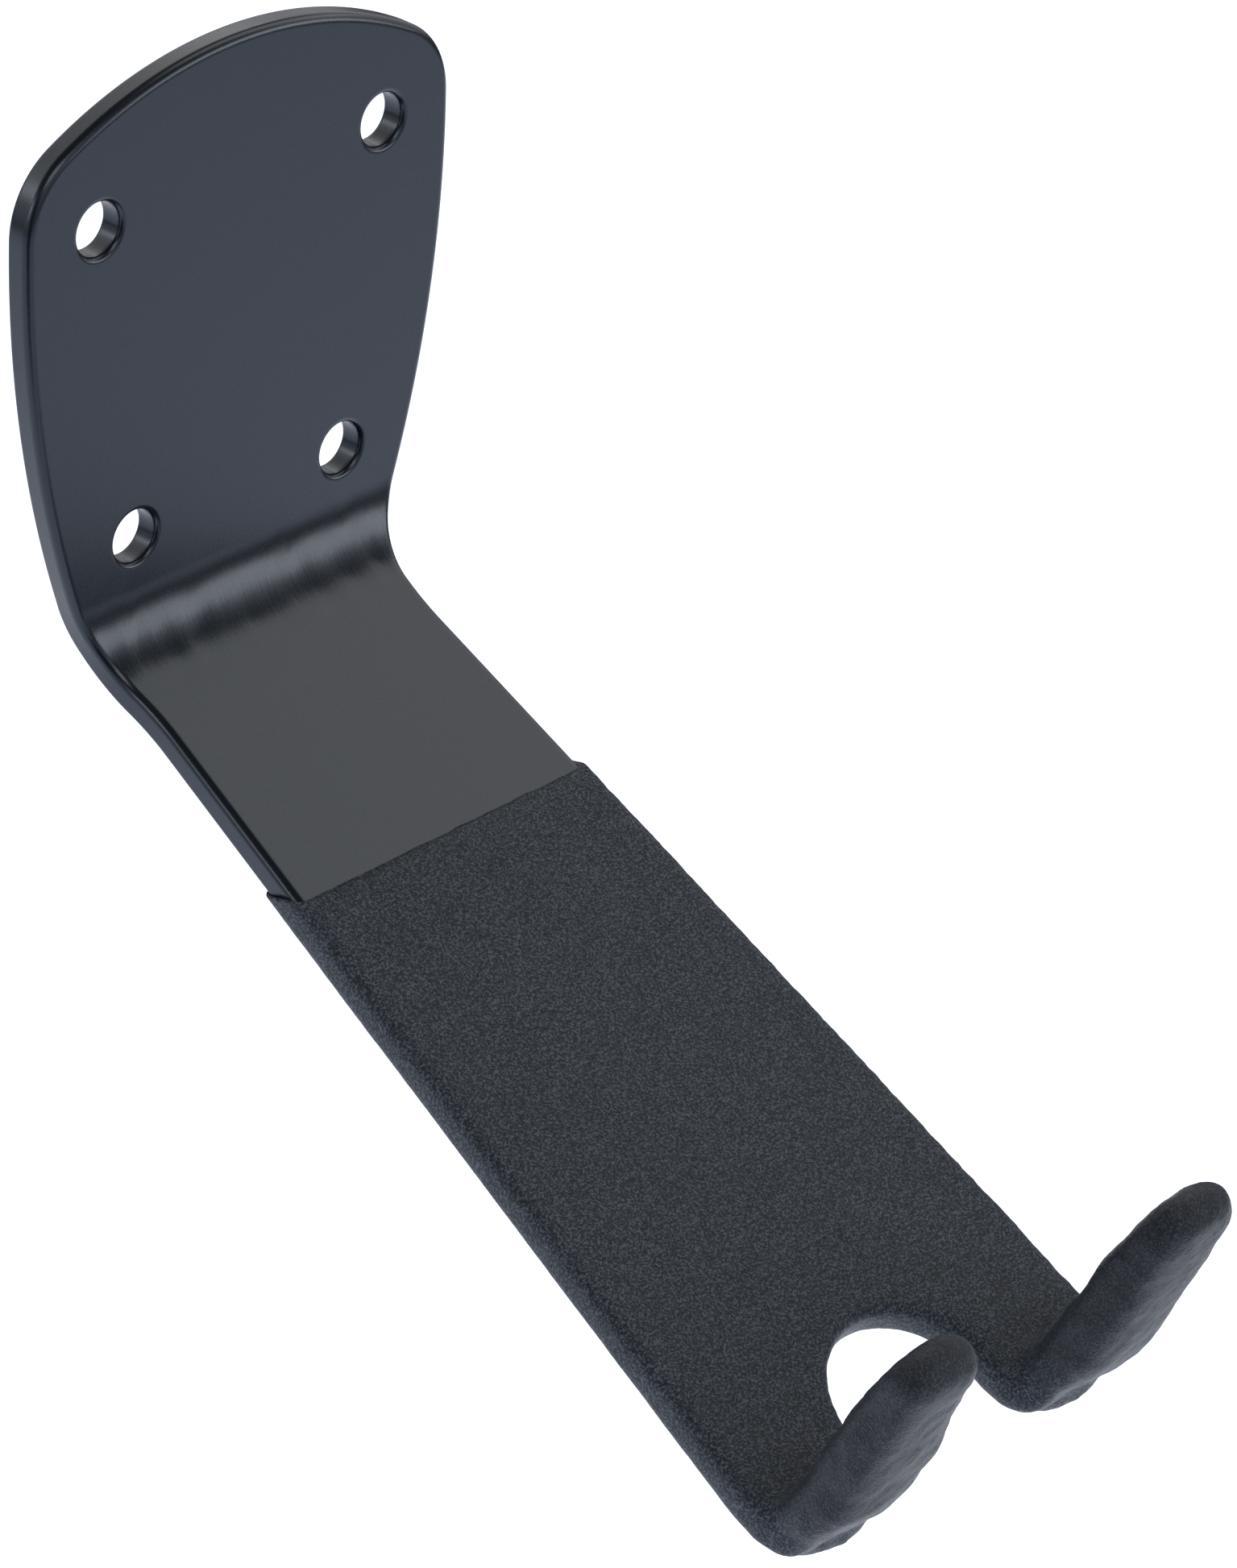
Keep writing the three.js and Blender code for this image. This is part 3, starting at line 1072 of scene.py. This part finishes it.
    def _add_lumps(self, mesh: bmesh.types.BMesh) -> None:
        """Moves the skin in and out, more on the prongs than on the arm."""
        sheet = self.outline.profile.sheet
        moves = []
        for vert in mesh.verts:
            spot = vert.co / MM
            on_prong = ease(vert.co.z, *(sheet + over for over in self.prong_zone))
            at_foot = ease(vert.co.y, *self.foot_zone) * (1.0 - on_prong)
            level = max(vert.normal.z, 0.0) ** 2
            at_edge = 4.0 * level * (1.0 - level) * (1.0 - on_prong) * (1.0 - at_foot)
            lump = 0.0
            for layer in self.lumps:
                height = layer.everywhere + layer.on_prong * on_prong
                height += layer.at_foot * at_foot
                height += layer.at_edge * at_edge
                lump += noise.noise(spot / layer.width + Vector(layer.seed)) * height
            moves.append(vert.normal * lump * MM)
        for vert, move in zip(mesh.verts, moves):
            vert.co += move

    def _behind_mouth(self, spot: Vector) -> float:
        """How far down the arm a place is behind the slanting mouth."""
        top = self.outline.profile.sheet + self.on_arm
        return -self.mouth_at - spot.y - self.dip_slope * (spot.z - top)

    def _cut_mouth(self, mesh: bmesh.types.BMesh) -> None:
        """Ends the coat on the slant of the bath it was dipped in, in a ragged lip."""
        top = self.outline.profile.sheet + self.on_arm
        slant = Vector((0.0, 1.0, self.dip_slope)).normalized()
        edge = Vector((0.0, -self.mouth_at, top))
        whole = mesh.verts[:] + mesh.edges[:] + mesh.faces[:]
        bmesh.ops.bisect_plane(
            mesh, geom=whole, dist=TOLERANCE, plane_co=edge, plane_no=slant, clear_outer=True
        )
        rim = [part for part in mesh.edges if part.is_boundary]
        bmesh.ops.holes_fill(mesh, edges=rim)
        # The cap that closes the mouth has more corners than any other face, and stays whole.
        cap_corners = 9
        for depth in self.lip_cuts:
            faces = [
                face
                for face in mesh.faces
                if self._behind_mouth(face.calc_center_median()) < self.lip_reach
                and len(face.verts) < cap_corners
            ]
            geom = list({part for face in faces for part in (face, *face.edges, *face.verts)})
            point = edge - Vector((0.0, depth * MM, 0.0))
            bmesh.ops.bisect_plane(mesh, geom=geom, dist=TOLERANCE, plane_co=point, plane_no=slant)
        for vert in mesh.verts:
            behind = self._behind_mouth(vert.co)
            if behind < self.sway_reach:
                self._shape_lip(vert, behind)

    def _shape_lip(self, vert: bmesh.types.BMVert, behind: float) -> None:
        """Thins the lip, more on the faces than at the edges, and frays it.

        Args:
            vert: a vertex near the mouth.
            behind: how far behind the mouth it is.
        """
        sheet = self.outline.profile.sheet
        width = self.outline.arm_half_width(-vert.co.y)
        on_side = ease(abs(vert.co.x), *(width + past for past in self.lip_side))
        length = (self.lip_length - self.lip_shorter_at_side * on_side) * MM
        thin = self.lip_thinness + self.lip_fuller_at_side * on_side
        if behind < length:
            rounded = math.sqrt(1.0 - (1.0 - max(behind, 0.0) / length) ** 2)
            steep = min(max(behind, 0.0) / self.lip_step, 1.0)
            gentle = 0.5 * math.sqrt(1.0 - (1.0 - steep) ** 2) + 0.5 * ease(behind, 0.0, length)
            full = gentle + (rounded - gentle) * on_side
            on_steel = Vector((min(max(vert.co.x, -width), width), min(max(vert.co.z, 0.0), sheet)))
            out = (vert.co.xz - on_steel) * (thin + (1.0 - thin) * full)
            vert.co.x, vert.co.z = on_steel + out
        spot = vert.co / MM
        slow = self._wave(spot, 6.0, 1.0) * self.sway * ease(behind, self.sway_reach, 0.0)
        torn = self._wave(spot, 1.1, 4.0) * self.fray
        torn += self._wave(spot, 2.6, 9.0) * self.coarse_fray
        vert.co.y -= (slow + torn * ease(behind, self.fray_reach, 0.0)) * MM

    def _wave(self, spot: Vector, width: float, seed: float) -> float:
        """A random wave of one width along the lip, from -1 to 1."""
        return noise.noise(Vector((spot.x / width, spot.z / width, seed)))

    def _hollow(self, piece: bpy.types.Object, steel: bpy.types.Object) -> None:
        """Takes the steel out of the coat.

        Args:
            piece: the solid coat.
            steel: the bracket, whose copy is grown by the clearance first.
        """
        mesh = bmesh.new()
        mesh.from_mesh(steel.data)
        mesh.normal_update()
        for vert in mesh.verts:
            vert.co += vert.normal * self.clearance
        room = make_object(mesh, "room_for_steel")
        cut = piece.modifiers.new("room", "BOOLEAN")
        cut.operation = "DIFFERENCE"
        cut.solver = "MANIFOLD"
        cut.object = room
        settle(piece)
        data = room.data
        bpy.data.objects.remove(room)
        bpy.data.meshes.remove(data)


@dataclass(frozen=True)
class Softbox:
    """A lamp with a wide, soft, nearly white front."""

    name: str
    towards: tuple[float, float, float]
    distance: float
    width: float
    height: float
    watts: float
    tint: str = "FFFFFF"

    def build(self, aim: Vector) -> None:
        """Hangs the lamp and points it.

        Args:
            aim: what the lamp points at.
        """
        lamp = bpy.data.lights.new(self.name, "AREA")
        lamp.shape = "RECTANGLE"
        lamp.size = self.width
        lamp.size_y = self.height
        lamp.energy = self.watts
        lamp.color = linear(self.tint)[:3]
        stand = bpy.data.objects.new(self.name, lamp)
        away = Vector(self.towards).normalized()
        stand.location = aim + away * self.distance
        stand.rotation_euler = away.to_track_quat("Z", "Y").to_euler()
        stand.visible_camera = False
        bpy.context.scene.collection.objects.link(stand)


@dataclass(frozen=True)
class Flag:
    """A black card beyond the camera, whose reflection darkens what faces it."""

    towards: tuple[float, float, float]
    distance: float
    width: float
    height: float

    def build(self, aim: Vector) -> None:
        """Stands the card up, seen only in reflections.

        Args:
            aim: what the card faces.
        """
        away = Vector(self.towards).normalized()
        turn = away.to_track_quat("Z", "Y").to_matrix().to_4x4()
        size = Matrix.Diagonal((self.width / 2, self.height / 2, 1.0, 1.0))
        mesh = bmesh.new()
        place = Matrix.Translation(aim + away * self.distance) @ turn @ size
        bmesh.ops.create_grid(mesh, x_segments=1, y_segments=1, size=1.0, matrix=place)
        card = make_object(mesh, "black_flag")
        felt, _, shader = start_material("black_felt")
        shader.inputs["Base Color"].default_value = linear("080808")
        shader.inputs["Roughness"].default_value = 1.0
        card.data.materials.append(felt)
        card.visible_camera = False


@dataclass(frozen=True)
class Studio:
    """The pale floor and walls, the soft lamps, the black flag and the camera."""

    azimuth: float = math.radians(-47.99)
    elevation: float = math.radians(29.72)
    roll: float = math.radians(2.59)
    distance: float = 0.95138
    aside: float = 0.0553
    above: float = -0.06392
    lens: float = 156.38
    sensor: float = 36.0
    floor_below: float = 0.9
    floor_size: float = 60.0
    # The floor glows near the rack, a painted light, and is painted dark far away, a painted shade.
    floor_glow: float = 1.05
    glow_centre: tuple[float, float] = (-1.8, 0.3)
    glow_edge: tuple[float, float] = (4.1, 5.6)
    wall_light: float = 0.9
    ceiling_light: float = 0.07
    wall_top: tuple[float, float] = (0.44, 0.58)
    wall_tint: str = "F6F8FC"
    floor_paper_and_far_shade: tuple[str, str] = ("F7F7F7", "141414")
    floor_light: tuple[str, str] = ("E4EEFF", "030303")
    softboxes: tuple[Softbox, ...] = (
        Softbox("overhead", (0.66, -0.07, 0.75), 1.5, 0.8, 1.2, 6.2, "FFF9EF"),
        Softbox("right_strip", (0.66, -0.70, 0.18), 1.4, 0.9, 0.54, 6.0, "FFFAF5"),
        Softbox("rear_strip", (0.0, 0.76, 0.65), 1.5, 2.85, 0.5, 7.6, "FFFAF3"),
        Softbox("rear_left", (-0.67, 0.58, 0.46), 1.5, 0.5, 0.35, 1.8, "FFFAF3"),
        Softbox("left_strip", (-0.93, 0.12, 0.35), 1.4, 0.5, 0.35, 2.4, "FFFAF3"),
        Softbox("front_panel", (-0.28, -0.66, 0.68), 1.4, 0.8, 0.6, 5.6, "FFFAF3"),
    )
    flag: Flag = Flag((-0.645, -0.60, 0.05), 1.5, 1.1, 2.2)

    def build(self) -> None:
        """Sets the studio up round the rack."""
        low, high = Vector(CAD_BOX[0]), Vector(CAD_BOX[1])
        middle = (low + high) / 2
        bpy.context.scene.view_settings.view_transform = "Standard"
        self._place_camera()
        self._lay_floor(low.z - self.floor_below)
        self._light_walls()
        for softbox in self.softboxes:
            softbox.build(middle)
        self.flag.build(middle)

    def _light_walls(self) -> None:
        """Gives the room pale walls and a dark ceiling."""
        world = bpy.data.worlds.new("studio_walls")
        world.use_nodes = True
        tree = world.node_tree
        direction = add_node(tree, "ShaderNodeTexCoord").outputs["Generated"]
        height = add_node(tree, "ShaderNodeSeparateXYZ", {"Vector": direction})
        light = add_node(
            tree,
            "ShaderNodeMapRange",
            {
                "Value": height.outputs["Z"],
                "From Min": self.wall_top[0],
                "From Max": self.wall_top[1],
                "To Min": self.wall_light,
                "To Max": self.ceiling_light,
            },
            interpolation_type="SMOOTHSTEP",
        )
        walls = tree.nodes["Background"]
        walls.inputs["Color"].default_value = linear(self.wall_tint)
        tree.links.new(light.outputs["Result"], walls.inputs["Strength"])
        bpy.context.scene.world = world

    def _place_camera(self) -> None:
        """Stands the camera on its line of sight past the screw holes."""
        flat = math.cos(self.elevation)
        back = Vector(
            (
                math.sin(self.azimuth) * flat,
                -math.cos(self.azimuth) * flat,
                math.sin(self.elevation),
            )
        )
        level = Vector((math.cos(self.azimuth), math.sin(self.azimuth), 0.0))
        upright = back.cross(level)
        right = level * math.cos(self.roll) + upright * math.sin(self.roll)
        up = upright * math.cos(self.roll) - level * math.sin(self.roll)
        data = bpy.data.cameras.new("studio_camera")
        data.sensor_fit = "VERTICAL"
        data.sensor_height = self.sensor
        data.lens = self.lens
        camera = bpy.data.objects.new("studio_camera", data)
        turn = Matrix((right, up, back)).transposed().to_4x4()
        spot = back * self.distance + right * self.aside + up * self.above
        camera.matrix_world = Matrix.Translation(spot) @ turn
        bpy.context.scene.collection.objects.link(camera)
        bpy.context.scene.camera = camera

    def _lay_floor(self, level: float) -> None:
        """Lays the floor: paper that glows round a middle beside the rack, a painted light, and
        goes dark far beyond it, a painted shade.

        Args:
            level: its height.
        """
        mesh = bmesh.new()
        place = Matrix.Translation((0.0, 0.0, level))
        size = self.floor_size / 2
        bmesh.ops.create_grid(mesh, x_segments=2, y_segments=2, size=size, matrix=place)
        floor = make_object(mesh, "studio_floor")
        paper, tree, shader = start_material("glowing_shaded_floor")
        place = add_node(tree, "ShaderNodeTexCoord").outputs["Object"]
        middle = (*self.glow_centre, level)
        reach = add_node(tree, "ShaderNodeVectorMath", {0: place, 1: middle}, operation="DISTANCE")
        beyond = add_node(
            tree,
            "ShaderNodeMapRange",
            {
                "Value": reach.outputs["Value"],
                "From Min": self.glow_edge[0],
                "From Max": self.glow_edge[1],
            },
            interpolation_type="SMOOTHSTEP",
        )
        # Painted light and shade: pale and glowing near the middle, dark and unlit beyond.
        looks = {"Base Color": self.floor_paper_and_far_shade, "Emission Color": self.floor_light}
        for socket, (near, far) in looks.items():
            mixed = add_node(
                tree,
                "ShaderNodeMix",
                {0: beyond.outputs["Result"], 6: linear(near), 7: linear(far)},
                data_type="RGBA",
            )
            tree.links.new(mixed.outputs[2], shader.inputs[socket])
        shader.inputs["Roughness"].default_value = 0.9
        shader.inputs["Emission Strength"].default_value = self.floor_glow
        floor.data.materials.append(paper)


def screw_holes() -> list[Vector]:
    """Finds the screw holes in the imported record's openings.

    Returns:
        Each hole's middle, across and up the plate.
    """
    openings = frame["record"]["physics"]["openings"]
    holes = [opening for opening in openings if opening["name"].startswith("screw_hole")]
    corners = [[Vector(corner) for corner in hole["box_m"]] for hole in holes]
    return [((low + high) / 2).xz for low, high in corners]


def main() -> None:
    """Builds the rack and the studio round it."""
    logging.basicConfig(level=logging.INFO, format="%(message)s")
    lowest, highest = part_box("steel_bracket")
    outline = BlankOutline(SideProfile(), highest.z, highest.x - lowest.x)
    steel = SteelBracket(outline, screw_holes()).build()
    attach(steel, "root")
    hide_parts("steel_bracket")
    LOG.info("%s: %d faces", steel.name, len(steel.data.polygons))
    coat = DippedSleeve(outline).build(steel)
    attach(coat, "root")
    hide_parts("dipped_sleeve")
    LOG.info("%s: %d faces", coat.name, len(coat.data.polygons))
    Studio().build()
    LOG.info("studio: camera, floor and lights")


if __name__ == "__main__":
    main()
